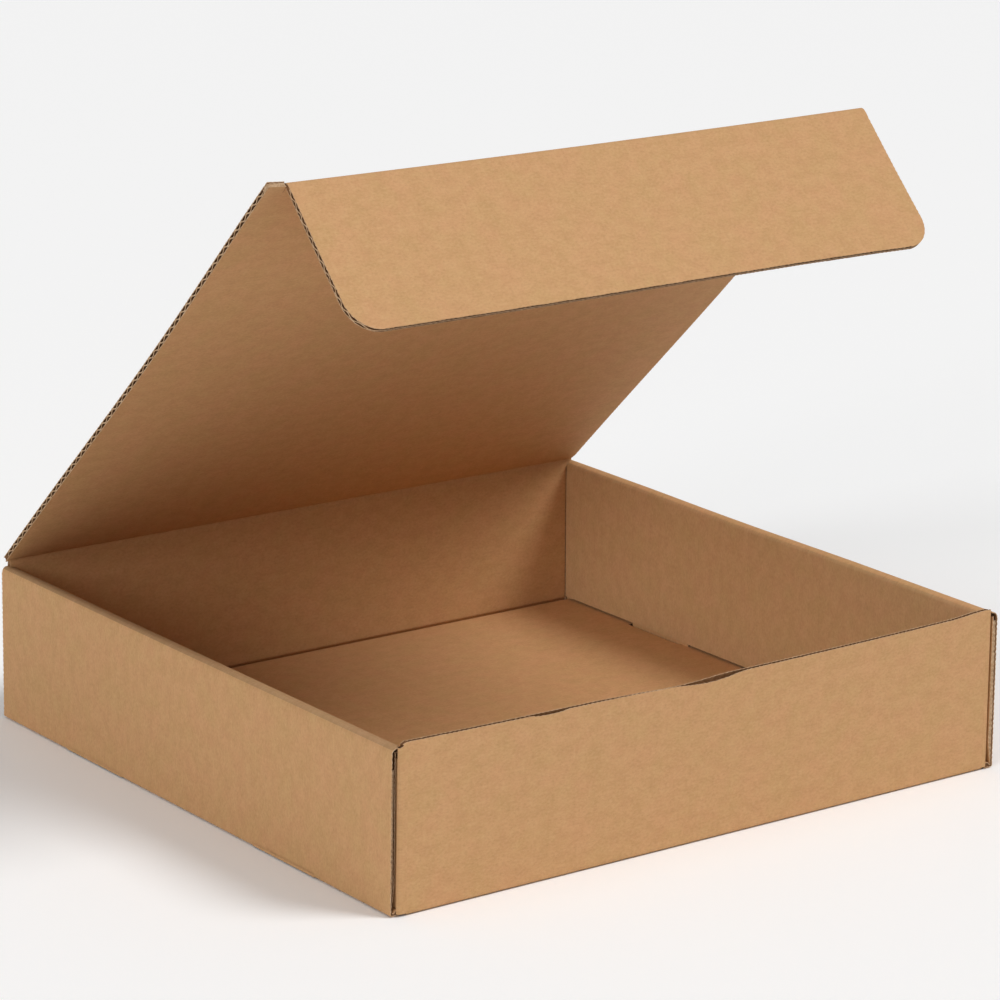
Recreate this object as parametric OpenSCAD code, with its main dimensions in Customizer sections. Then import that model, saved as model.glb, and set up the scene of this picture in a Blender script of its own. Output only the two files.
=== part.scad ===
// Corrugated mailer box, folded from one die-cut sheet and standing open.
// The tray, the lid and the lid's tuck flap are one sheet on the real box. The
// two creases that work as hinges part it here into three solids.
// X runs along the front wall, Y towards the hinge, Z up. The origin is the
// centre of the underside. All sizes are in millimetres.

/* [Box] */
// Outside width, along the front wall
box_w = 364; // [260:1:460]
// Outside depth, from the front wall to the hinge
box_d = 340; // [250:1:440]
// Height of the rolled side walls
side_h = 79.5; // [55:0.5:120]
// How far the front wall stands above the side walls
front_rise = 2.3; // [0.5:0.1:5]

/* [Board] */
// Thickness of the single-wall board
board_t = 2.8; // [2.4:0.1:3.2]
// Thickness of each flat liner
liner_t = 0.35; // [0.3:0.05:0.5]
// Thickness of the wavy medium
medium_t = 0.3; // [0.25:0.05:0.4]
// Distance from flute to flute
flute_pitch = 6.5; // [5.8:0.1:7.5]
// Free space between two layers of a side wall
layer_gap = 0.1; // [0.1:0.05:0.4]
// Outside radius of a right-angle fold
fold_r = 1.2; // [0.8:0.1:3]

/* [Side walls] */
// Outside radius of the two creases along a rolled top
roll_r = 2.4; // [1.5:0.1:2.8]
// How far an inner panel stops above the base
panel_lift = 1.2; // [0.6:0.1:3]
// Free space at the ends of an inner panel
panel_end_gap = 0.5; // [0.3:0.1:1.5]
// Length of a locking tab
tab_w = 50; // [25:1:70]
// Distance of each locking tab's middle from the middle of the wall
tab_y = 83; // [50:1:85]
// Free space around a locking tab in its slot
tab_gap = 0.4; // [0.3:0.1:0.8]
// Length of a corner flap, inside the side wall
corner_flap_l = 60; // [30:1:70]
// Thickness of a corner flap, pressed flat between the layers
corner_flap_t = 1.7; // [1.2:0.1:2.4]
// Cut corners at a corner flap's free end
corner_flap_cut = 8; // [2:1:15]
// Radius at the top end corners of a side wall
wall_end_r = 1.5; // [1:0.5:5]
// Depth of the open flute that shows in a raw edge
edge_groove = 1; // [0.5:0.1:2]

/* [Thumb relief] */
// Width of the relief in the front wall's top edge
thumb_w = 48; // [30:1:70]
// Its depth on the outer face
thumb_depth = 3.6; // [2.5:0.1:6]
// Its distance from the middle of the wall, towards the left
thumb_offset = 4; // [0:1:20]
// Slope of the relief through the board
thumb_slope = 50; // [20:1:55]

/* [Lid] */
// How far the lid is open, counted from closed
lid_angle = 44.6; // [0:0.1:185]
// Free space between the closed lid and the front wall's top
lid_rest_gap = 0.3; // [0.1:0.1:1]
// How much narrower the lid is on each side at its front
lid_taper = 2; // [0:0.5:4]
// Cut corners of the lid beside the hinge
lid_cut = 1; // [1:0.5:5]
// Width of the crushed zone on each side of a hinge crease
crease_w = 5; // [4.6:0.1:8]
// Running gap in a hinge crease
crease_gap = 0.3; // [0.2:0.05:0.4]

/* [Tuck flap] */
// Angle between the tuck flap and the lid
flap_angle = 87.2; // [35:0.1:180]
// Space between the tucked flap and the front wall
tuck_gap = 6.4; // [5:0.1:12]
// Space between the tucked flap and the inner panels, on each side
flap_side_gap = 0.4; // [0.3:0.1:2]
// Space between the tucked flap and the base
flap_floor_gap = 0.5; // [0.3:0.1:5]
// How far the flap lies to the right of the box's middle
flap_offset = 2.1; // [0:0.1:3]
// Radius of the flap's lower corners
flap_corner_r = 16; // [5:1:30]

/* [Hidden] */
$fn = 64;

kraft = [0.76, 0.58, 0.40];
kraft_light = [0.83, 0.65, 0.47];
half_w = box_w / 2;
half_d = box_d / 2;
half_t = board_t / 2;
roll_w = 2 * board_t + corner_flap_t + 2 * layer_gap;
front_half_w = half_w - board_t - layer_gap;
inner_half_w = half_w - roll_w;
inner_half_d = half_d - board_t;
front_h = side_h + front_rise;
hinge_y = half_d - half_t;
hinge_z = front_h + lid_rest_gap + half_t;
back_h = hinge_z - half_t - crease_gap;
lid_l = box_d - 2 * board_t - tuck_gap;
flap_l = hinge_z - board_t - flap_floor_gap;
flap_half_w = inner_half_w - flap_side_gap - flap_offset;
notch_half_w = flap_half_w + flap_side_gap;
knuckle_seat_r = half_t + crease_gap;
wave_h = half_t - liner_t - medium_t / 2;
// Share of a pitch that an open channel takes up, the rest is the glue line
channel_share = 0.84;
// Extra length that lets a cutting shape run clear of the faces it cuts
over = 1;

// Fillet piece that is taken off the corner of a square, which lies at 0,0
module corner_waste(r) {
    difference() {
        translate([-over, -over]) square(r + over);
        translate([r, r]) circle(r);
    }
}

// Extrudes an outline of X and Z along Y, centred on the middle of the box
module along_y(length) {
    rotate([90, 0, 0])
        linear_extrude(height = length, center = true)
            children();
}

// Extrudes an outline of Y and Z along X, centred on the middle of the box
module along_x(length) {
    rotate([90, 0, 90])
        linear_extrude(height = length, center = true)
            children();
}

// Front wall, base and back wall as one bent strip, in Y and Z
module front_to_back_section() {
    difference() {
        union() {
            translate([-half_d, 0]) square([box_d, board_t]);
            translate([-half_d, 0]) square([board_t, front_h]);
            translate([half_d - board_t, 0]) square([board_t, back_h]);
        }
        translate([-half_d, 0]) corner_waste(fold_r);
        translate([half_d, 0]) mirror([1, 0]) corner_waste(fold_r);
    }
}

// Plan of the bent strip, whose ends turn back into the side walls
module front_to_back_plan() {
    difference() {
        square([2 * front_half_w, box_d], center = true);
        for (sx = [0, 1], sy = [0, 1])
            mirror([sx, 0]) mirror([0, sy])
                translate([-front_half_w, -half_d]) corner_waste(fold_r);
    }
}

// Corner flap, folded back from the front wall's right end
module corner_flap() {
    low = board_t + layer_gap;
    high = side_h - board_t - layer_gap;
    end_y = -half_d + corner_flap_l;
    translate([front_half_w - corner_flap_t / 2, 0, 0])
        along_x(corner_flap_t)
            polygon([
                [-half_d, low],
                [end_y - corner_flap_cut, low],
                [end_y, low + corner_flap_cut],
                [end_y, high - corner_flap_cut],
                [end_y - corner_flap_cut, high],
                [-half_d, high]
            ]);
}

// Shallow relief across the front wall's top edge, deepest on the outer face
module thumb_relief() {
    rise = thumb_depth * cos(thumb_slope);
    relief_r = (pow(thumb_w / 2, 2) + rise * rise) / (2 * rise);
    translate([-thumb_offset, -half_d, front_h - thumb_depth])
        rotate([thumb_slope, 0, 0])
            translate([0, 0, relief_r])
                rotate([90, 0, 0])
                    cylinder(r = relief_r, h = 4 * board_t, center = true, $fn = 200);
}

// Open flute in the front wall's raw top edge
module front_edge_groove() {
    groove_l = 2 * (front_half_w - fold_r);
    translate([-groove_l / 2, -half_d + liner_t, front_h - edge_groove])
        cube([groove_l, board_t - 2 * liner_t, edge_groove + over]);
}

module front_to_back_strip() {
    difference() {
        intersection() {
            union() {
                along_x(2 * front_half_w) front_to_back_section();
                for (sx = [0, 1], sy = [0, 1])
                    mirror([sx, 0, 0]) mirror([0, sy, 0]) corner_flap();
            }
            linear_extrude(height = hinge_z) front_to_back_plan();
        }
        thumb_relief();
        front_edge_groove();
    }
}

// Outer layer of the right side wall, in X and Z
module outer_wall_section() {
    difference() {
        translate([half_w - board_t, 0]) square([board_t, side_h]);
        translate([half_w, 0]) mirror([1, 0]) corner_waste(fold_r);
        translate([half_w, side_h]) rotate(180) corner_waste(roll_r);
    }
}

// Strip of the base that runs into the fold below the right side wall
module base_strip() {
    strip_x = front_half_w - fold_r;
    strip_d = box_d - 2 * fold_r;
    difference() {
        translate([strip_x, -strip_d / 2, 0])
            cube([half_w - board_t - strip_x + over, strip_d, board_t]);
        along_y(box_d) translate([half_w, 0]) mirror([1, 0]) corner_waste(fold_r);
    }
}

// Rolled top of the right side wall and the panel that hangs from it, in X and Z
module rolled_section() {
    panel_z = board_t + panel_lift;
    difference() {
        union() {
            translate([half_w - roll_w, side_h - board_t]) square([roll_w, board_t]);
            translate([half_w - roll_w, panel_z]) square([board_t, side_h - panel_z]);
        }
        translate([half_w, side_h]) rotate(180) corner_waste(roll_r);
        translate([half_w - roll_w, side_h]) mirror([0, 1]) corner_waste(roll_r);
    }
}

// Locking tab below the inner panel, with its end level with the underside
module locking_tab() {
    translate([half_w - roll_w, -tab_w / 2, 0])
        cube([board_t, tab_w, board_t + panel_lift + over]);
}

// Slot for one locking tab, cut through the base up to the fold
module tab_slot() {
    slot_x = half_w - roll_w - tab_gap;
    slot_w = half_w - board_t - slot_x;
    slot_h = board_t + layer_gap / 2 + over;
    translate([slot_x, -tab_w / 2 - tab_gap, -over])
        cube([slot_w, tab_w + 2 * tab_gap, slot_h]);
}

// Raw lower edge of the side wall along a slot, where no fold rounds it
module slot_edge() {
    translate([half_w - board_t, -tab_w / 2 - tab_gap, 0])
        cube([board_t, tab_w + 2 * tab_gap, fold_r]);
}

// Waste at the side wall's top end corners, in Y and Z
module wall_end_waste() {
    for (sy = [0, 1])
        mirror([0, sy, 0])
            translate([half_w - half_t, 0, 0])
                along_x(board_t + 2 * over)
                    translate([-half_d, side_h]) mirror([0, 1]) corner_waste(wall_end_r);
}

// Open flutes in the raw vertical edges of the side wall
module wall_edge_grooves() {
    groove_h = side_h - wall_end_r - fold_r;
    for (sy = [0, 1])
        mirror([0, sy, 0])
            translate([half_w - board_t + liner_t, -half_d - over, fold_r])
                cube([board_t - 2 * liner_t, edge_groove + over, groove_h]);
}

module right_side_wall() {
    difference() {
        along_y(box_d) outer_wall_section();
        wall_end_waste();
        wall_edge_grooves();
    }
    along_y(2 * (inner_half_d - panel_end_gap)) rolled_section();
    for (side = [-1, 1])
        translate([0, side * tab_y, 0]) {
            slot_edge();
            locking_tab();
        }
}

module tray() {
    color(kraft)
        union() {
            difference() {
                union() {
                    front_to_back_strip();
                    base_strip();
                    mirror([1, 0, 0]) base_strip();
                }
                for (sx = [0, 1], side = [-1, 1])
                    mirror([sx, 0, 0]) translate([0, side * tab_y, 0]) tab_slot();
            }
            right_side_wall();
            mirror([1, 0, 0]) right_side_wall();
        }
}

// Height of the medium's middle line at a distance from the nearest crest
function wave(distance) = wave_h * cos(360 * distance / flute_pitch);

// One channel between the medium and the upper liner, in Y and Z
module channel() {
    steps = 6;
    reach = flute_pitch * channel_share / 2;
    ceiling = half_t - liner_t;
    floor_line = [
        for (i = [0 : steps])
            let (y = reach * (2 * i / steps - 1))
                [y, -wave(y) + medium_t / 2]
    ];
    polygon(concat([[reach, ceiling], [-reach, ceiling]], floor_line));
}

// Channels of a board that runs from -y_near to -y_far, above and below the medium
module flute_channels(y_near, y_far) {
    count = floor((y_far - y_near) / flute_pitch) - 1;
    start = (y_far + y_near - count * flute_pitch) / 2;
    for (i = [0 : count]) {
        translate([-start - i * flute_pitch, 0]) channel();
        if (i < count)
            translate([-start - (i + 0.5) * flute_pitch, 0]) mirror([0, 1]) channel();
    }
}

// Lid in Y and Z with its hinge at 0,0, as it lies when closed
module lid_section() {
    difference() {
        union() {
            circle(half_t);
            translate([-lid_l, -half_t]) square([lid_l, board_t]);
        }
        translate([-lid_l, 0]) circle(knuckle_seat_r);
        flute_channels(crease_w, lid_l - crease_w - half_t);
    }
}

// Wedge that the score leaves open on the inner side of the flap's crease
module score_waste() {
    reach = crease_w + half_t;
    polygon([[0, 0], [reach, -reach * half_t / crease_w], [0, -reach]]);
}

// Outline of the lid from above, in X and Y
module lid_plan() {
    front_y = -lid_l - half_t;
    front_x = half_w - lid_taper;
    difference() {
        polygon([
            [-front_half_w, half_t],
            [-front_half_w, -half_t],
            [-half_w + lid_cut, -half_t],
            [-half_w, -half_t - lid_cut],
            [-front_x, front_y],
            [front_x, front_y],
            [half_w, -half_t - lid_cut],
            [half_w - lid_cut, -half_t],
            [front_half_w, -half_t],
            [front_half_w, half_t]
        ]);
        translate([flap_offset - notch_half_w, front_y - over])
            square([2 * notch_half_w, half_t + over]);
    }
}

// Shoulders of the lid's front edge, on each side of the tuck flap
module lid_shoulders() {
    for (sx = [-1, 1])
        scale([sx, 1, 1]) {
            shoulder_x = notch_half_w + sx * flap_offset;
            translate([shoulder_x, -lid_l - half_t, -half_t])
                cube([half_w - shoulder_x, crease_w + board_t, board_t]);
        }
}

// Puts a piece that is drawn closed, with the hinge at the origin, in its place
module on_hinge() {
    translate([0, hinge_y, hinge_z])
        rotate([-lid_angle, 0, 0])
            children();
}

module lid() {
    color(kraft)
        on_hinge()
            intersection() {
                union() {
                    difference() {
                        along_x(box_w) lid_section();
                        translate([flap_offset, 0, 0])
                            along_x(2 * notch_half_w)
                                translate([-lid_l, 0]) score_waste();
                    }
                    lid_shoulders();
                }
                linear_extrude(height = board_t + 2 * over, center = true) lid_plan();
            }
}

// Tuck flap in Y and Z with its crease at 0,0, as it lies when flat
module flap_section() {
    difference() {
        union() {
            circle(half_t);
            difference() {
                translate([-flap_l, -half_t]) square([flap_l, board_t]);
                mirror([1, 0]) score_waste();
            }
        }
        flute_channels(crease_w + half_t, flap_l - flute_pitch / 2);
    }
}

// Outline of the tuck flap from above, in X and Y
module flap_plan() {
    difference() {
        translate([-flap_half_w, -flap_l]) square([2 * flap_half_w, flap_l + half_t]);
        for (sx = [0, 1])
            mirror([sx, 0])
                translate([-flap_half_w, -flap_l]) corner_waste(flap_corner_r);
    }
}

module tuck_flap() {
    color(kraft_light)
        on_hinge()
            translate([flap_offset, -lid_l, 0])
                rotate([180 - flap_angle, 0, 0])
                    intersection() {
                        along_x(2 * flap_half_w) flap_section();
                        linear_extrude(height = board_t + 2 * over, center = true)
                            flap_plan();
                    }
}

tray();
lid();
tuck_flap();
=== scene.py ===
"""Corrugated mailer box, standing open: its looks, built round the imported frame.

Every panel is a board of two liners with a wavy medium or a core between them. A
board is laid out flat in s and u, and a place function folds it into its place:
place(s, u, w), with w out of the board's middle.
"""
import math

import bpy
import numpy as np
from mathutils import Matrix, Vector


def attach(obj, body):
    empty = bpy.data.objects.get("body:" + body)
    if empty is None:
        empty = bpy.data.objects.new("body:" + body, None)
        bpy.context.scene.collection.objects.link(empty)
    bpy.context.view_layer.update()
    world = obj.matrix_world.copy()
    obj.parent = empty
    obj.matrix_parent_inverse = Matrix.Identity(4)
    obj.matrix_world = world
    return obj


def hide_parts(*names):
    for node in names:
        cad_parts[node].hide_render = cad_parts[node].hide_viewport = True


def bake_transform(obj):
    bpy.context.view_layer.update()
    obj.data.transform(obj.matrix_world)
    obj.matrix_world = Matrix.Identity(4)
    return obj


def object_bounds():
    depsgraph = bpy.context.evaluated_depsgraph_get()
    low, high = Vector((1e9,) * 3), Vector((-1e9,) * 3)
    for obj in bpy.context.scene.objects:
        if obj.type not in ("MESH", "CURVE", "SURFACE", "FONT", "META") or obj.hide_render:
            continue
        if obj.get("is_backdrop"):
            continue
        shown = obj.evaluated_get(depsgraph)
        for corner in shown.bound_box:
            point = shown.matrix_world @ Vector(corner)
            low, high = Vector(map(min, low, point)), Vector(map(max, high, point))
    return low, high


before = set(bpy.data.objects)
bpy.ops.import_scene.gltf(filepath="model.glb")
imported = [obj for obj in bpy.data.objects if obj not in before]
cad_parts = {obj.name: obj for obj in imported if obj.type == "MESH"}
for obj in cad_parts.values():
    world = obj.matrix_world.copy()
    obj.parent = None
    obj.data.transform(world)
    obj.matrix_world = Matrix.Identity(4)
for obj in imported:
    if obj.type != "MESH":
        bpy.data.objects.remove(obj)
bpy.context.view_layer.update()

# Sizes in millimetres, as in the part's source
MM = 0.001
SIDE_H, FRONT_H, BACK_H = 79.5, 81.8, 78.5
HALF_W, HALF_D, HALF_T = 182.0, 170.0, 1.4
PANEL_X, PANEL_HALF_D = 175.9, 166.7     # middle of an inner panel's board, its end
HINGE = np.array([168.6, 83.5])
LID_ANGLE, LID_L = math.radians(44.6), 328.0
FLAP_FOLD, FLAP_L = math.radians(92.8), 80.2
FLAP_LEFT, FLAP_RIGHT = -169.4, 174.3
FLAP_CORNER = 16.0       # radius of the tuck flap's lower corners
TAB_Y, TAB_HALF, SLOT_HALF = 83.0, 23.8, 25.4
WALL_HALF_W = 174.4      # half width of the front and back walls

# The board
LINER, THICK_LINER, MEDIUM, PITCH = 0.42, 0.7, 0.7, 6.5
FOLD = 0.7               # half thickness of the board where a fold crushes it
PRESSED = 0.85           # half thickness of a corner flap between the layers
TOOTH = 2.54             # pitch of the cutting rule's teeth
# The medium's slot holds a dark paper: painted shade inside the board, on the medium, the
# core and the liners' inner faces
LINER_SLOT, EDGE_SLOT, FLUTE_SHADE_SLOT, SHADE_SLOT, INNER_SLOT = range(5)
# Added to a board's seed, so that its layers' teeth differ
INNER_SEED, CORE_SEED, PLUG_SEED = 40, 80, 90

# Middles of the boards of the walls, and of their crushed folds at the base
WALL_X, FOLD_X = HALF_W - HALF_T, HALF_W - FOLD
WALL_Y, FOLD_Y = HALF_D - HALF_T, HALF_D - FOLD

# How the box in the photograph departs from a true one
FRONT_BULGE, BULGE_HALF_W = 4.6, 177.0
RIGHT_LEAN, RIGHT_RISE, LEFT_BULGE = 1.4, 0.9, 0.5
LID_SAG, LESS_AT_RIGHT = 2.15, 0.2
EDGE_TILT, EDGE_BOW = 0.54, 0.9


# ---------------------------------------------------------------- geometry
def ramp(x, a, b):
    """0 before a, 1 beyond b, smooth between."""
    q = np.clip((np.asarray(x, float) - a) / (b - a), 0, 1)
    return q * q * (3 - 2 * q)


class Path:
    """Centre line through 2D points with rounded corners."""

    ARC_STEPS = 6

    def __init__(self, points, radii, step=14.0):
        pts = [np.array(p, float) for p in points]
        s, places, dirs = [0.0], [pts[0]], [self.unit(pts[1] - pts[0])]
        self.bends = []      # where along the line the middle of each corner is
        for k in range(1, len(pts)):
            d = self.unit(pts[k] - pts[k - 1])
            last = k == len(pts) - 1
            cut = 0.0
            if not last:
                e = self.unit(pts[k + 1] - pts[k])
                turn = math.acos(max(-1, min(1, float(d @ e))))
                cut = radii[k - 1] * math.tan(turn / 2)
            end = pts[k] - d * cut
            run = float(np.linalg.norm(end - places[-1]))
            count = max(1, int(math.ceil(run / step)))
            start = places[-1]
            for i in range(1, count + 1):
                places.append(start + (end - start) * i / count)
                dirs.append(d)
                s.append(s[-1] + run / count)
            if not last:
                side = 1 if d[0] * e[1] - d[1] * e[0] > 0 else -1
                left = np.array([-d[1], d[0]]) * side
                centre = end + left * radii[k - 1]
                for i in range(1, self.ARC_STEPS + 1):
                    a = turn * i / self.ARC_STEPS
                    inward = left * math.cos(a) - d * math.sin(a)
                    places.append(centre - inward * radii[k - 1])
                    dirs.append(d * math.cos(a) + left * math.sin(a))
                    s.append(s[-1] + radii[k - 1] * turn / self.ARC_STEPS)
                    if i == self.ARC_STEPS // 2:
                        self.bends.append(s[-1])
        self.s, self.p, self.d = np.array(s), np.array(places), np.array(dirs)
        self.length = self.s[-1]

    @staticmethod
    def unit(v):
        return v / np.linalg.norm(v)

    def at(self, s):
        """Points on the line, and its normals there."""
        p, d = (np.stack([np.interp(s, self.s, of[:, k]) for k in (0, 1)], -1)
                for of in (self.p, self.d))
        d /= np.linalg.norm(d, axis=-1, keepdims=True)
        return p, np.stack([d[:, 1], -d[:, 0]], -1)

    def stations(self, a, b, apart=0.3):
        """The line's own points between a and b, with a and b."""
        inside = (self.s > a + apart) & (self.s < b - apart)
        return np.concatenate([[a], np.unique(self.s[inside].round(4)), [b]])


def steady(value):
    """An edge, or a half thickness, that is the same all along."""
    return lambda s, u=None: np.full(np.shape(s), float(value))


def even(n):
    return np.linspace(0, 1, n)


def tooth(along, depth, seed):
    """How far the saw-like cut eats into an edge."""
    jitter = np.random.default_rng(seed).uniform(0.45, 1.0, 512)
    q = np.asarray(along, float) / TOOTH
    cell = np.floor(q).astype(int) % len(jitter)
    return depth * jitter[cell] * (1 - np.abs(2 * (q - np.floor(q)) - 1))


def patch(rows, left, right, cols, teeth="", depth=0.35, seed=1, dip=None):
    """Points (s, u), cells and rim of a sheet between left(s) and right(s).

    Its sides are l, r, b (the first row) and t (the last). Those in teeth are sawn,
    and dip(u) is what is cut off at the first row.
    """
    rows, cols = np.asarray(rows, float), np.asarray(cols, float)
    lo, hi = left(rows), right(rows)
    s, u, sides = [], [], []

    def put(a, b, on):
        s.append(a)
        u.append(b)
        sides.append(on)
        return len(s) - 1

    m, n = len(rows), len(cols)
    grid = np.zeros((m, n), int)
    for i in range(m):
        for j in range(n):
            on = (("l" if j == 0 else "") + ("r" if j == n - 1 else "")
                  + ("b" if i == 0 else "") + ("t" if i == m - 1 else ""))
            grid[i, j] = put(rows[i], lo[i] + (hi[i] - lo[i]) * cols[j], on)

    def between(i, j, i2, j2, edge):
        """Further points along an edge, four to a tooth."""
        if edge not in teeth:
            return []
        a, b = grid[i, j], grid[i2, j2]
        run = math.hypot(s[b] - s[a], u[b] - u[a])
        count = int(math.ceil(run / (TOOTH / 4)))
        made = []
        for k in range(1, count):
            q = k / count
            if edge in "lr":
                at = s[a] + (s[b] - s[a]) * q
                limit = left if edge == "l" else right
                made.append(put(at, float(limit(np.array([at]))[0]), edge))
            else:
                made.append(put(s[a], u[a] + (u[b] - u[a]) * q, edge))
        return made

    low = [between(0, j, 0, j + 1, "b") for j in range(n - 1)]
    high = [between(m - 1, j, m - 1, j + 1, "t") for j in range(n - 1)]
    near = [between(i, 0, i + 1, 0, "l") for i in range(m - 1)]
    far = [between(i, n - 1, i + 1, n - 1, "r") for i in range(m - 1)]
    cells = []
    for i in range(m - 1):
        for j in range(n - 1):
            cell = [grid[i, j]] + (low[j] if i == 0 else [])
            cell += [grid[i, j + 1]] + (far[i] if j == n - 2 else [])
            cell += [grid[i + 1, j + 1]] + (high[j][::-1] if i == m - 2 else [])
            cell += [grid[i + 1, j]] + (near[i][::-1] if j == 0 else [])
            cells.append(cell)
    rim = []
    for j in range(n - 1):
        rim += [grid[0, j]] + low[j]
    for i in range(m - 1):
        rim += [grid[i, n - 1]] + far[i]
    for j in range(n - 2, -1, -1):
        rim += [grid[m - 1, j + 1]] + high[j][::-1]
    for i in range(m - 2, -1, -1):
        rim += [grid[i + 1, 0]] + near[i][::-1]
    s, u = np.array(s), np.array(u)
    s0, u0 = s.copy(), u.copy()
    well_past_zero = 7000
    for edge, sign, moved, along in (("l", 1, u, s0), ("r", -1, u, s0),
                                     ("b", 1, s, u0), ("t", -1, s, u0)):
        if edge in teeth:
            pick = np.array([edge in on for on in sides])
            cut = tooth(along + well_past_zero, depth, seed + ord(edge))
            moved[pick] += sign * cut[pick]
    if dip is not None:
        pick = np.array(["b" in on for on in sides])
        s[pick] += dip(u0[pick])
    return s, u, cells, rim


class Sheet:
    """Collects closed slabs into one mesh."""

    def __init__(self):
        self.co, self.faces, self.uv, self.slots, self.smooth = [], [], [], [], []
        self.count = 0

    def slab(self, made, top, bottom, place, slots):
        """A patch with thickness; slots are those of its top, bottom and rim."""
        s, u, cells, rim = made
        n = len(s)
        w_top = np.broadcast_to(top(s, u), (n,)).astype(float)
        w_low = np.broadcast_to(bottom(s, u), (n,)).astype(float)
        co = np.vstack([place(s, u, w_top), place(s, u, w_low)])
        faces = [list(c) for c in cells] + [[k + n for k in c[::-1]] for c in cells]
        slot = [slots[0]] * len(cells) + [slots[1]] * len(cells)
        smooth = [True] * (2 * len(cells)) + [False] * len(rim)
        plane = np.stack([u, s], -1)
        uv = [plane[c] for c in cells] + [plane[c[::-1]] for c in cells]
        along = u + s
        for k, a in enumerate(rim):
            b = rim[(k + 1) % len(rim)]
            faces.append([b, a, a + n, b + n])
            slot.append(slots[2])
            uv.append(np.array([[along[b], w_top[b]], [along[a], w_top[a]],
                                [along[a], w_low[a]], [along[b], w_low[b]]]))
        if self.turned(co, faces[:len(cells)], n) < 0:
            faces = [f[::-1] for f in faces]
            uv = [a[::-1] for a in uv]
        self.co.append(co)
        self.faces += [[k + self.count for k in f] for f in faces]
        self.uv += uv
        self.slots += slot
        self.smooth += smooth
        self.count += len(co)

    @staticmethod
    def turned(co, faces, n):
        """Sign of the upper faces' normals against the way from lower to upper."""
        total = 0.0
        for f in faces:
            p = co[f]
            normal = np.cross(p[1:-1] - p[0], p[2:] - p[0]).sum(0)
            total += float(normal @ (co[f[0]] - co[f[0] + n]))
        return total

    def board(self, rows, left, right, cols, place, teeth="", half=steady(HALF_T),
              core=False, phase=0.0, seed=1, depth=0.35, recess=0.2, fine=12, grow=2.2,
              tuck=0.25, dips=(None, None, None), filling=FLUTE_SHADE_SLOT, top=LINER_SLOT,
              plug=False, skin=LINER):
        """Two liners with the wavy medium, or a plain core, between them.

        rows run along s, and cols are shares of the way from left(s) to right(s).
        teeth names the sawn sides and depth is their teeth's; half is the board's
        half thickness. A core stays recess back from the sides, with teeth grow
        times as deep. The medium starts tuck after the first row, in fine steps to a
        wave. dips cut the outer liner, the core and the inner liner at the first
        row, and plug shuts the channels there.
        """
        inset, clear = 0.04, 0.02

        def patched(rows, left, right, teeth, depth, more_seed, dip=None):
            return patch(rows, left, right, cols, teeth, depth, seed + more_seed, dip)

        # The liners' faces inside the board take the medium's dark paper: painted shade in
        # the flutes
        made = patched(rows, left, right, teeth, depth, 0, dips[0])
        self.slab(made, half, lambda s, u: half(s, u) - skin, place,
                  (top, FLUTE_SHADE_SLOT, EDGE_SLOT))
        made = patched(rows, left, right, teeth, depth, INNER_SEED, dips[2])
        self.slab(made, lambda s, u: -half(s, u) + skin,
                  lambda s, u: -half(s, u), place, (FLUTE_SHADE_SLOT, LINER_SLOT, EDGE_SLOT))
        if plug:
            strip = [rows[0] + 0.5, rows[0] + 1.8]
            made = patched(strip, left, right, "b", depth, PLUG_SEED)
            self.slab(made, lambda s, u: half(s, u) - skin - 0.1,
                      lambda s, u: -half(s, u) + skin + clear, place, (EDGE_SLOT,) * 3)
        if core:
            shorter = np.array(rows, float)
            shorter[0] += recess
            shorter[-1] -= recess

            def back(s):
                return np.minimum(recess, 0.25 * (right(s) - left(s)))

            made = patched(shorter, lambda s: left(s) + back(s),
                           lambda s: right(s) - back(s), teeth, grow * depth, CORE_SEED,
                           dips[1])
            self.slab(made, lambda s, u: half(s, u) - skin - clear,
                      lambda s, u: -half(s, u) + skin + clear, place, (filling,) * 3)
            return
        first, last = rows[0] + tuck, rows[-1] - inset
        count = max(2, int(round((last - first) / (PITCH / fine))))

        def middle(s, u):
            high = half(s, u) - skin - MEDIUM / 2
            return high * np.cos(2 * np.pi * s / PITCH + phase)

        made = patch(np.linspace(first, last, count + 1), lambda s: left(s) + inset,
                     lambda s: right(s) - inset, cols[::2] if len(cols) > 4 else cols)
        self.slab(made, lambda s, u: middle(s, u) + MEDIUM / 2,
                  lambda s, u: middle(s, u) - MEDIUM / 2, place,
                  (FLUTE_SHADE_SLOT, FLUTE_SHADE_SLOT, EDGE_SLOT))

    def make(self, name, body=None, node=None):
        """The piece; it rides on body and replaces node."""
        mesh = bpy.data.meshes.new(name)
        co = np.vstack(self.co) * MM
        mesh.from_pydata(co.tolist(), [], self.faces)
        layer = mesh.uv_layers.new(name="UVMap")
        layer.data.foreach_set("uv", (np.vstack(self.uv) * MM).astype(np.float32).ravel())
        mesh.polygons.foreach_set("use_smooth", self.smooth)
        for paper in papers:
            mesh.materials.append(paper)
        mesh.polygons.foreach_set("material_index", self.slots)
        mesh.set_sharp_from_angle(angle=math.radians(32))
        mesh.update()
        piece = bpy.data.objects.new(name, mesh)
        bpy.context.scene.collection.objects.link(piece)
        if body:
            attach(piece, body)
        if node:
            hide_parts(node)
        return piece


# ---------------------------------------------------------------- places
def join(x, y, z):
    return np.stack(np.broadcast_arrays(x, y, z), -1).astype(float)


def tray_form(co):
    """How the standing box departs from a true one."""
    x, y, z = co[:, 0].copy(), co[:, 1].copy(), co[:, 2].copy()
    up = np.clip(z / FRONT_H, 0, 1.1)
    front = 1 - ramp(y, -164, -140)
    y -= FRONT_BULGE * np.clip(1 - (x / BULGE_HALF_W) ** 2, 0, 1) * up ** 1.3 * front
    right = ramp(x, 150, 171)
    x += RIGHT_LEAN * (1 - up) * right
    z += RIGHT_RISE * right * up * ramp(y, 60, -120)
    left = 1 - ramp(x, -171, -150)
    x -= LEFT_BULGE * left * up ** 2 * (1 - (y / HALF_D) ** 2)
    return join(x, y, z)


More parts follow.
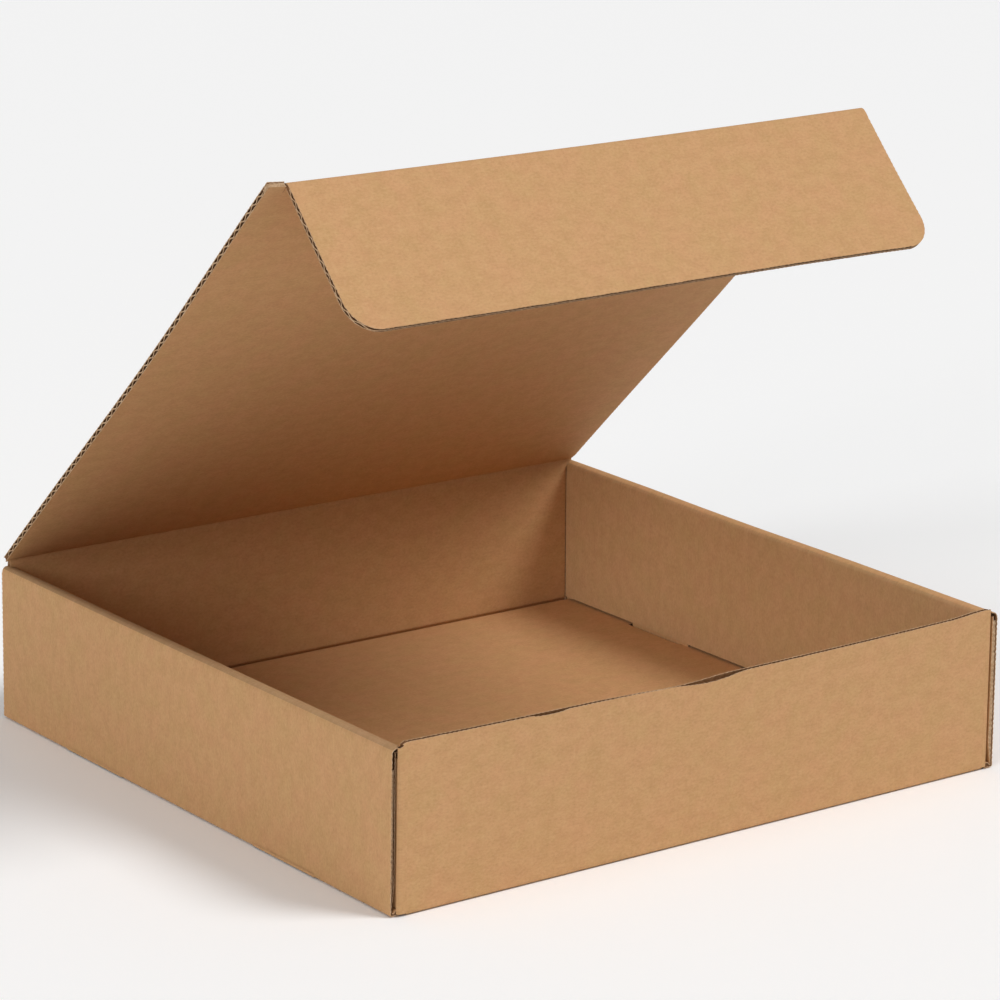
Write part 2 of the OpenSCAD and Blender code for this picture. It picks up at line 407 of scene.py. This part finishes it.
# The front wall leaves its fold gently, and the back wall at once
FRONT_BEND, BACK_BEND = (3.0, 13.0), (1.9, 3.6)
BASE_Y, CRUSHED_Y = 164.5, 167.4     # where the base thins, and is thin, by a fold
ends = Path([(-WALL_Y, FRONT_H), (-WALL_Y, FRONT_BEND[1]), (-FOLD_Y, FRONT_BEND[0]),
             (-FOLD_Y, FOLD), (-CRUSHED_Y, FOLD), (-BASE_Y, HALF_T), (BASE_Y, HALF_T),
             (CRUSHED_Y, FOLD), (FOLD_Y, FOLD), (FOLD_Y, BACK_BEND[0]),
             (WALL_Y, BACK_BEND[1]), (WALL_Y, BACK_H)],
            [2, 1, 0.75, 1, 2, 2, 1, 0.75, 1, 2])


def ends_half(s, u):
    p, _ = ends.at(s)
    return np.clip(np.minimum(HALF_D - np.abs(p[..., 0]), p[..., 1]), FOLD, HALF_T)


def place_ends(s, u, w):
    p, n = ends.at(s)
    return tray_form(join(u, p[:, 0] + w * n[:, 0], p[:, 1] + w * n[:, 1]))


ROLL_Z, ROLL_FALL = SIDE_H - HALF_T, 0.4     # a side wall's rolled top falls inwards
PANEL_LOW = 4.0
side = Path([(177.0, HALF_T), (178.4, HALF_T), (180.0, FOLD), (FOLD_X, FOLD),
             (FOLD_X, FRONT_BEND[0]), (WALL_X, FRONT_BEND[1]), (WALL_X, ROLL_Z),
             (PANEL_X, ROLL_Z - ROLL_FALL), (PANEL_X, PANEL_LOW)],
            [1, 1, 0.75, 1, 2, 1.3, 1.3], step=9.0)
TOP_BENDS = side.bends[-2:]


def side_half(s, u):
    p, _ = side.at(u)
    half = np.clip(np.minimum(HALF_W - p[..., 0], p[..., 1]), FOLD, HALF_T)
    for bend in TOP_BENDS:
        half = half - 0.22 * np.exp(-((u - bend) / 1.3) ** 2)
    return half


def right_rise(y):
    """How much higher the right wall's top edge stands."""
    return np.interp(y, [-150, -100, -60, -20, 5, 50, 100, 150],
                     [0.5, 0.7, 1.05, 1.15, 1.15, 1.5, 2.05, 2.2])


def place_side(sign):
    def place(s, u, w):
        p, n = side.at(u)
        x, z = p[:, 0] + w * n[:, 0], p[:, 1] + w * n[:, 1]
        if sign > 0:
            z = z + right_rise(s) * np.clip(z / SIDE_H, 0, 1) ** 3
        return tray_form(join(sign * x, s, z))
    return place


# Ways along and out of the lid and the flap, as (y, z)
L2 = np.array([-math.cos(LID_ANGLE), math.sin(LID_ANGLE)])
N2 = np.array([math.sin(LID_ANGLE), math.cos(LID_ANGLE)])
CREASE = HINGE + LID_L * L2
F2 = math.cos(FLAP_FOLD) * L2 - math.sin(FLAP_FOLD) * N2
G2 = math.cos(FLAP_FOLD) * N2 + math.sin(FLAP_FOLD) * L2


def lid_sag(s, u):
    q = np.clip(s / LID_L, 0, 1) ** 1.25
    less = 1 - LESS_AT_RIGHT * np.clip(np.asarray(u, float) / 180, 0, 1)
    return -LID_SAG * 16 * (q * (1 - q)) ** 2 * less


def lift(s, u):
    """The lid's front edge is bowed, and higher at its right end."""
    q = np.asarray(u, float) / 180.0
    return (EDGE_TILT * q + EDGE_BOW * q * q) * np.clip(s / LID_L, 0, 1) ** 2


def place_lid(s, u, w):
    p = HINGE + s[:, None] * L2 + (w + lid_sag(s, u) + lift(s, u))[:, None] * N2
    return join(u, p[:, 0], p[:, 1])


def flap_bow(s):
    """The flap curls outwards, more so towards its free edge."""
    s = np.clip(s, 0, FLAP_L)
    return 0.007 * s + 0.049 * s ** 2 / (2 * FLAP_L)


def flap_short(u):
    """The flap's lower edge is wavy."""
    return np.interp(u, [-170, -60, 40, 90, 137, 160, 175],
                     [0, 0.4, 1.0, 1.0, 0.4, -0.2, -0.6])


def place_flap(s, u, w):
    s = s - flap_short(u) * np.clip(s / FLAP_L, 0, 1)
    p = CREASE + s[:, None] * F2 + (w + flap_bow(s))[:, None] * G2
    p = p + lift(LID_L, u)[:, None] * N2
    return join(u, p[:, 0], p[:, 1])


# ---------------------------------------------------------------- materials
def maths(tree, operation, a, b=None):
    made = tree.nodes.new("ShaderNodeMath")
    made.operation = operation
    for socket, v in zip(made.inputs, (a, b)):
        if isinstance(v, (int, float)):
            socket.default_value = v
        elif v is not None:
            tree.links.new(v, socket)
    return made.outputs[0]


def blended(tree, factor, low, high):
    made = tree.nodes.new("ShaderNodeMix")
    made.data_type = "RGBA"
    for socket, v in zip((made.inputs[0], made.inputs[6], made.inputs[7]),
                         (factor, low, high)):
        if isinstance(v, tuple):
            socket.default_value = (*v, 1)
        else:
            tree.links.new(v, socket)
    return made.outputs[2]


def noise(tree, vector, scale, detail, rough):
    made = tree.nodes.new("ShaderNodeTexNoise")
    made.inputs["Scale"].default_value = scale
    made.inputs["Detail"].default_value = detail
    made.inputs["Roughness"].default_value = rough
    tree.links.new(vector, made.inputs["Vector"])
    return made.outputs["Fac"]


def spread(tree, value, a, b):
    """0 at a, 1 at b."""
    made = tree.nodes.new("ShaderNodeMapRange")
    made.inputs["From Min"].default_value = a
    made.inputs["From Max"].default_value = b
    tree.links.new(value, made.inputs["Value"])
    return made.outputs[0]


def paper(name, roughness, specular):
    """A material, its node tree and shader, and the flat board's coordinates."""
    mat = bpy.data.materials.new(name)
    mat.use_nodes = True
    tree = mat.node_tree
    shader = tree.nodes["Principled BSDF"]
    shader.inputs["Roughness"].default_value = roughness
    shader.inputs["Specular IOR Level"].default_value = specular
    coords = tree.nodes.new("ShaderNodeTexCoord").outputs["UV"]
    return mat, tree, shader, coords


def bumped(tree, shader, height, strength, distance):
    bump = tree.nodes.new("ShaderNodeBump")
    bump.inputs["Strength"].default_value = strength
    bump.inputs["Distance"].default_value = distance
    tree.links.new(height, bump.inputs["Height"])
    tree.links.new(bump.outputs[0], shader.inputs["Normal"])


def kraft(name, olive, pink, dark, light):
    """Liner: two hues in clouds, dark and light fibres, and the flutes below."""
    mat, tree, shader, coords = paper(name, 0.8, 0.25)
    squeezed = tree.nodes.new("ShaderNodeMapping")
    squeezed.inputs["Scale"].default_value = (1, 1.5, 1)
    tree.links.new(coords, squeezed.inputs["Vector"])
    hue = noise(tree, coords, 55, 4, 0.62)
    cloud = noise(tree, squeezed.outputs[0], 120, 3, 0.6)
    grain = noise(tree, squeezed.outputs[0], 560, 3, 0.65)
    speck = noise(tree, coords, 1300, 2, 0.7)
    colour = blended(tree, spread(tree, hue, 0.36, 0.64), olive, pink)
    for value, low, high, strength, tint in (
            (cloud, 0.42, 0.72, 0.16, dark), (cloud, 0.55, 0.28, 0.10, light),
            (grain, 0.50, 0.78, 0.32, dark), (grain, 0.48, 0.24, 0.32, light),
            (speck, 0.56, 0.76, 0.22, dark)):
        share = maths(tree, "MULTIPLY", spread(tree, value, low, high), strength)
        colour = blended(tree, share, colour, tint)
    tree.links.new(colour, shader.inputs["Base Color"])
    split = tree.nodes.new("ShaderNodeSeparateXYZ")
    tree.links.new(coords, split.inputs[0])
    height = maths(tree, "SINE", maths(tree, "MULTIPLY", split.outputs[1],
                                       2 * math.pi / (PITCH * MM)))
    height = maths(tree, "MULTIPLY", height, 0.3)
    for value, share in ((grain, 0.45), (cloud, 0.8)):
        height = maths(tree, "ADD", height, maths(tree, "MULTIPLY", value, share))
    bumped(tree, shader, height, 0.5, 0.00012)
    return mat


def edge_paper(name, base, dark, light):
    """Torn fibres of a cut edge, or of the medium and the board's inside, where its darker
    colours are painted shade.
    """
    mat, tree, shader, coords = paper(name, 0.92, 0.05)
    rough = noise(tree, coords, 1400, 3, 0.7)
    tufts = noise(tree, coords, 420, 2, 0.6)
    colour = blended(tree, spread(tree, rough, 0.35, 0.65), dark, base)
    colour = blended(tree, maths(tree, "MULTIPLY", spread(tree, tufts, 0.45, 0.7), 0.6),
                     colour, light)
    tree.links.new(colour, shader.inputs["Base Color"])
    bumped(tree, shader, rough, 0.7, 0.0002)
    return mat


# In the order of the slots
papers = [
    kraft("kraft_liner", (0.572, 0.332, 0.146), (0.602, 0.326, 0.154),
          (0.33, 0.18, 0.075), (0.68, 0.46, 0.26)),
    edge_paper("raw_edge", (0.57, 0.38, 0.225), (0.37, 0.22, 0.12), (0.72, 0.53, 0.35)),
    # Much darker than the kraft: painted shade inside the flutes and the core
    edge_paper("fluting_painted_shade", (0.215, 0.104, 0.046), (0.13, 0.058, 0.024),
               (0.31, 0.163, 0.08)),
    # A darker copy of the kraft for the left wall's rolled top: painted shade where the
    # lid above shades it
    kraft("kraft_painted_shade", (0.42, 0.25, 0.12), (0.44, 0.25, 0.125),
          (0.26, 0.15, 0.07), (0.50, 0.35, 0.21)),
    kraft("kraft_panel", (0.555, 0.350, 0.165), (0.585, 0.345, 0.175),
          (0.33, 0.19, 0.085), (0.68, 0.48, 0.28))]


# ---------------------------------------------------------------- tray
def bottom_half_width(s):
    """Half width of the bent strip: walls, base, and the slots for the tabs."""
    p, _ = ends.at(np.asarray(s, float))
    y, z = p[:, 0], p[:, 1]
    wall = (np.abs(y) > 167.5) | (z > 3.4)
    slot = (np.abs(np.abs(y) - TAB_Y) < SLOT_HALF) & ~wall
    return np.where(wall, WALL_HALF_W, np.where(slot, 172.8, 177.2))


def thumb_outer(u):
    """Relief for the thumb and a small dent, in the front wall's outer liner."""
    relief = np.interp(u, [-60, -45, -35, -27, -22, -16, -8, -1, 7, 11, 15, 20],
                       [0, 0.2, 0.5, 0.7, 1.1, 1.7, 2.3, 2.2, 1.5, 0.8, 0.3, 0])
    return relief + 0.9 * np.clip(1 - ((u + 97) / 11) ** 2, 0, 1)


def thumb_core(u):
    return 0.1 * thumb_outer(u)


def thumb_inner(u):
    return np.interp(u, [-70, -45, -30, -18, -8, 0, 8], [0, 0.6, 1.3, 1.3, 0.9, 0.3, 0])


tray = Sheet()
THUMB_DEEP, FRONT_S = 6.5, 76.0      # rows below the relief, and above the fold
wall_rows = np.concatenate([[0], ends.stations(THUMB_DEEP, FRONT_S)])
tray.board(wall_rows, steady(-WALL_HALF_W), steady(WALL_HALF_W), even(29), place_ends,
           teeth="b", core=True, depth=0.3, seed=3, recess=1.9, grow=4.0, half=ends_half,
           skin=THICK_LINER, dips=(thumb_outer, thumb_core, thumb_inner))

# The base's rows step sharply at both ends of each slot
base_from = float(ends.s[np.argmax((ends.p[:, 1] < 1.5) & (ends.p[:, 0] > -168))])
s_of_y = base_from - float(np.interp(base_from, ends.s, ends.p[:, 0]))
steps = [s_of_y + y + d * SLOT_HALF + e
         for y in (-TAB_Y, TAB_Y) for d in (-1, 1) for e in (-0.05, 0.05)]
rest_rows = np.unique(np.concatenate([ends.stations(FRONT_S, ends.length),
                                      steps]).round(4))
tray.board(rest_rows, lambda s: -bottom_half_width(s), bottom_half_width, even(9),
           place_ends, core=True, seed=5, half=ends_half)

# The front and back walls turn back into the side walls as corner flaps
CORNER_X, CORNER_TOP = 178.2, 78.6
for sx in (-1, 1):
    reach = 178.9 if sx < 0 else 177.0
    for sy, top in ((-1, FRONT_H), (1, BACK_H)):
        inward = reach - 1.5 if sx < 0 and sy < 0 else reach
        corner = Path([(WALL_HALF_W, -WALL_Y), (reach - 1.8, -168.9), (reach, -FOLD_Y),
                       (inward, -167.6), (min(inward, CORNER_X), -162),
                       (CORNER_X, -154), (CORNER_X, -110)], [1, 0.75, 0.8, 2, 4])
        bend = float(corner.s[np.argmax(corner.p[:, 1] > -167.5)])

        def place_corner(s, u, w):
            p, n = corner.at(u)
            x, y = p[:, 0] + w * n[:, 0], p[:, 1] + w * n[:, 1]
            fall = (top - CORNER_TOP) * ramp(u, 1.0, bend) * ramp(s, 60, top)
            return tray_form(join(sx * x, -sy * y, s - fall))

        def corner_half(s, u):
            p, _ = corner.at(u)
            room = np.minimum(HALF_D - np.abs(p[..., 1]), reach + FOLD - p[..., 0])
            return np.where(p[..., 1] > -168, PRESSED, np.clip(room, FOLD, HALF_T))

        tray.board([0.8, 20, 40, 60, 74, top], steady(0), steady(bend),
                   corner.stations(0, bend) / bend, place_corner,
                   teeth="t" if sy < 0 else "", core=True, depth=0.4, half=corner_half)
        tray.board([3.2, 12, 40, 68, 76.4], steady(bend), steady(58), even(9),
                   place_corner, core=True, half=steady(PRESSED))

# Side walls: outer layer, rolled top and inner panel with its tabs
to_wall = side.bends[2] + 0.6
to_roll = TOP_BENDS[0] - 3.0
roll_from, roll_on, roll_to = (TOP_BENDS[0] - 0.2, TOP_BENDS[0] + 1.6,
                               TOP_BENDS[1] - 0.3)
SLOT_TOP, TAB_TOP = 1.9, 4.2


def shares(a, b):
    return (side.stations(a, b) - a) / (b - a)


# The left wall's rolled top takes the darker paper of the shade slot: painted shade from
# the lid above it
for sign, front_end, inner_short, flat, panel in (
        (-1, -168.2, 0.9, SHADE_SLOT, LINER_SLOT),
        (1, -169.8, 0.3, LINER_SLOT, INNER_SLOT)):
    wall = Sheet()
    place = place_side(sign)
    dips = (None, None, steady(inner_short))
    rows = np.linspace(front_end, HALF_D, 21)
    wall.board(rows, steady(to_wall), steady(to_roll), shares(to_wall, to_roll), place,
               teeth="bt", phase=2.0, seed=11 + sign, fine=8, depth=0.45,
               half=side_half, tuck=1.4, dips=dips, plug=sign > 0)
    for a, b, top in ((to_roll, roll_from, LINER_SLOT), (roll_from, roll_on, flat)):
        wall.board(rows, steady(a), steady(b), shares(a, b), place, teeth="bt", core=True,
                   seed=21 + sign, depth=0.45, recess=2.0, half=side_half, dips=dips,
                   top=top)
    rows = np.linspace(-PANEL_HALF_D, PANEL_HALF_D, 21)
    for a, b, top in ((roll_on, roll_to, flat), (roll_to, side.length, panel)):
        wall.board(rows, steady(a), steady(b), shares(a, b), place, core=True,
                   seed=25 + sign, half=side_half, top=top)
    # The fold at the base, between the slots
    for near, far in ((front_end, -TAB_Y - SLOT_HALF),
                      (-TAB_Y + SLOT_HALF, TAB_Y - SLOT_HALF),
                      (TAB_Y + SLOT_HALF, HALF_D)):
        wall.board(np.linspace(near, far, 5), steady(0), steady(to_wall),
                   shares(0, to_wall), place, core=True, recess=0.4, half=side_half)

    def place_straight(s, u, w):
        return tray_form(join(sign * (WALL_X + w), s, u))

    def place_tab(s, u, w):
        return tray_form(join(sign * (PANEL_X - w), s, u))

    # Raw lower edge along each slot, and the tab that fills the slot
    for y in (-TAB_Y, TAB_Y):
        for half_run, high, put in ((SLOT_HALF, SLOT_TOP, place_straight),
                                    (TAB_HALF, TAB_TOP, place_tab)):
            wall.board(np.linspace(y - half_run, y + half_run, 3), steady(0),
                       steady(high), even(2), put, teeth="l", core=True, depth=0.3)
    wall.make("side_wall_left" if sign < 0 else "side_wall_right", "tray")

tray.make("tray_base", "tray", "tray")

# ---------------------------------------------------------------- lid
lid = Sheet()
START, STOP = 3.2, 323.0         # the lid's board, between the two creases
LID_END, RIGHT_END = 329.4, 325.6
BESIDE = 0.3                     # from the flap's crease to the board beside it


def lid_left(s):
    return -180.8 + 1.1 * np.clip(np.asarray(s, float) / LID_L, 0, 1)


def lid_right(s):
    """Narrower at the hinge, and cut back at its front corner."""
    s = np.asarray(s, float)
    return (179.1 + 2.3 * np.clip(s / 240, 0, 1) - 1.4 * ramp(s, 250, 313)
            - 5.1 * np.clip((s - 313) / 12.6, 0, 1))


def place_shoulder(s, u, w):
    """The left front shoulder slopes a little towards the crease."""
    short = 1.3 * np.clip((u + 180) / 10.3, 0, 1) * np.clip((s - STOP) / 6.4, 0, 1)
    return place_lid(s - short, u, w)


lid.board(np.linspace(START, STOP, 33), lid_left, lid_right, even(13), place_lid,
          teeth="lr", seed=31, depth=0.3)
lid.board([STOP, 326, LID_END], lid_left, steady(FLAP_LEFT - BESIDE), even(3),
          place_shoulder, teeth="tl", core=True, seed=35, depth=0.3, filling=EDGE_SLOT,
          recess=0.3)
lid.board([STOP, RIGHT_END], steady(FLAP_RIGHT + BESIDE), lid_right, even(2), place_lid,
          teeth="r", core=True, seed=36, depth=0.2)
lid.board([-0.6, 0.4, 1.8, START], lid_left, steady(-178.8), even(2), place_lid,
          teeth="l", core=True, seed=37, depth=0.3)
lid.make("lid_panel", "lid", "lid")

# ---------------------------------------------------------------- tuck flap
flap = Sheet()
ROUND_FROM = FLAP_L - FLAP_CORNER


def corner_cut(s):
    q = np.clip(np.asarray(s, float) - ROUND_FROM, 0, FLAP_CORNER)
    return FLAP_CORNER - np.sqrt(np.maximum(FLAP_CORNER ** 2 - q * q, 0))


arc = ROUND_FROM + FLAP_CORNER * np.sin(np.linspace(0, math.pi / 2, 12))
flap.board(np.concatenate([np.linspace(START, ROUND_FROM, 9), arc[1:]]),
           lambda s: FLAP_LEFT + corner_cut(s),
           lambda s: FLAP_RIGHT + 0.7 * s / FLAP_L - corner_cut(s), even(25),
           place_flap, teeth="lrt", seed=51, depth=0.35, phase=2.6)
flap.make("front_flap", "tuck_flap", "tuck_flap")


# ---------------------------------------------------------------- creases
def crease(name, points, radius, left, right, groove, rise=0.0):
    """A strip of board bent at a joint, pressed by groove at its middle."""
    line = Path(points, [radius], step=1.0)

    def place(s, u, w):
        p, n = line.at(s)
        p = p + w[:, None] * n + rise * lift(LID_L, u)[:, None] * N2
        return join(u, p[:, 0], p[:, 1])

    def half(s, u):
        return HALF_T * (1 - groove * np.exp(-((s - line.length / 2) / 1.7) ** 2))

    strip = Sheet()
    strip.board(line.s, steady(left), steady(right), even(9), place, half=half,
                core=True, recess=0.05)
    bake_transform(strip.make(name))


crease("hinge_crease", [(WALL_Y, BACK_H - 0.1), HINGE, HINGE + 3.3 * L2],
       2.2, -178.6, 178.6, 0.4)
crease("flap_crease", [CREASE - 5.1 * L2, CREASE,
                                     CREASE + 5.1 * F2 + 0.04 * G2],
       1.7, FLAP_LEFT, FLAP_RIGHT, 0.2, rise=1.0)

# ---------------------------------------------------------------- stage
FLOOR_Z, FLOOR_SIZE = -0.0006, 60
bpy.ops.mesh.primitive_plane_add(size=FLOOR_SIZE, location=(0, 0, FLOOR_Z))
floor = bpy.context.object
floor.name = "floor"
white = bpy.data.materials.new("floor_white")
white.use_nodes = True
white_shader = white.node_tree.nodes["Principled BSDF"]
white_shader.inputs["Base Color"].default_value = (1, 1, 1, 1)
white_shader.inputs["Roughness"].default_value = 0.9
floor.data.materials.append(white)
floor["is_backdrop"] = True

# A white sky, brightest overhead
scene = bpy.context.scene
SKY_STRENGTH = 0.80
world = bpy.data.worlds.new("studio")
scene.world = world
world.use_nodes = True
sky = world.node_tree
sky.nodes["Background"].inputs[0].default_value = (1, 1, 1, 1)
split = sky.nodes.new("ShaderNodeSeparateXYZ")
sky.links.new(sky.nodes.new("ShaderNodeTexCoord").outputs["Generated"], split.inputs[0])
above = maths(sky, "MAXIMUM", split.outputs[2], 0.0)
sky.links.new(maths(sky, "MULTIPLY", maths(sky, "MULTIPLY", above, above), SKY_STRENGTH),
              sky.nodes["Background"].inputs[1])

SOFTNESS = math.radians(24)


def soft_light(name, azimuth, elevation, strength):
    """Light from far off, its azimuth counted from the front to the right."""
    light = bpy.data.lights.new(name, "SUN")
    light.angle = SOFTNESS
    light.energy = strength
    lamp = bpy.data.objects.new(name, light)
    scene.collection.objects.link(lamp)
    a, e = math.radians(azimuth), math.radians(elevation)
    way = Vector((-math.sin(a) * math.cos(e), math.cos(a) * math.cos(e), -math.sin(e)))
    lamp.rotation_euler = way.to_track_quat("-Z", "Y").to_euler()


soft_light("key", 45, 50, 1.62)
soft_light("left_fill", -70, 20, 1.12)

# Camera solved from the photograph's edges
PHOTO_PX, FOCAL_PX, SENSOR = 1000, 4230.3, 36
ROLL = math.radians(1.01)
BACK, ASIDE, ABOVE = 2.123602, 0.0042357, 0.1210918
forward = Vector((0.5812, 0.7676, -0.2703)).normalized()
flat_right = Vector((0.7972, -0.6037, 0)).normalized()
flat_up = flat_right.cross(forward)
right = flat_right * math.cos(ROLL) + flat_up * math.sin(ROLL)
up = flat_up * math.cos(ROLL) - flat_right * math.sin(ROLL)
optics = bpy.data.cameras.new("camera")
optics.sensor_width = SENSOR
optics.lens = SENSOR * FOCAL_PX / PHOTO_PX
optics.clip_start, optics.clip_end = 0.1, 60
camera = bpy.data.objects.new("camera", optics)
scene.collection.objects.link(camera)
spot = -forward * BACK + right * ASIDE + up * ABOVE
turn = Matrix((right, up, -forward)).transposed().to_4x4()
camera.matrix_world = Matrix.Translation(spot) @ turn
scene.camera = camera
scene.view_settings.view_transform = "Standard"

low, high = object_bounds()
